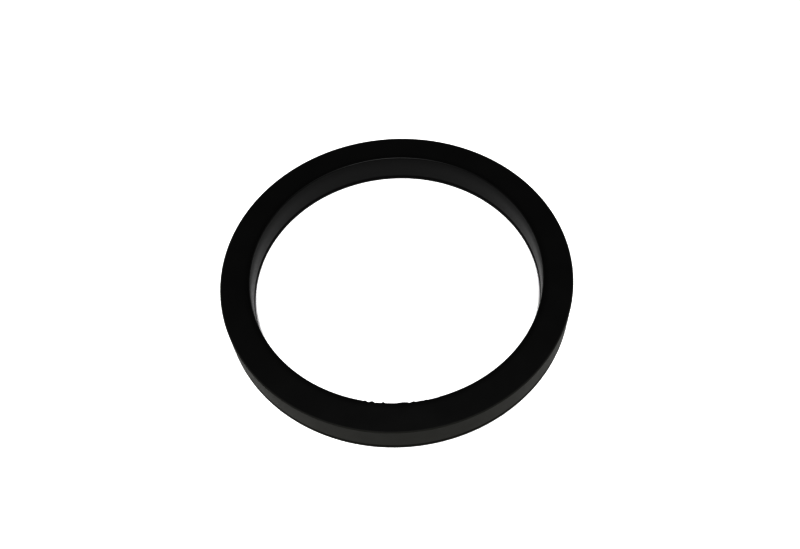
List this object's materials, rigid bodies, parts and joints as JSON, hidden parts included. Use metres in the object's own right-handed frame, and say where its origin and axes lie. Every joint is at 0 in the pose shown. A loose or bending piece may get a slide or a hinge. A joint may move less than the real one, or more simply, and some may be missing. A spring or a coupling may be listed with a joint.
{
  "type": "seal ring",
  "caption": "Moulded black rubber seal ring of rectangular section, with flat sealing faces, a plain bore and outer wall, crisp upper edges and rounder lower ones.",
  "frame": {"origin": "on the bore's axis, at the plane of the lower sealing face that the ring lies on", "axes": "+Z along the bore's axis, up from the lower sealing face to the upper one; X and Y are free, because the ring is round"},
  "size_m": [0.072, 0.072, 0.007],
  "materials": {
    "rubber": "black nitrile rubber, satin as moulded"
  },
  "bodies": {
    "root": {"seal_ring": "rubber"}
  },
  "joints": []
}
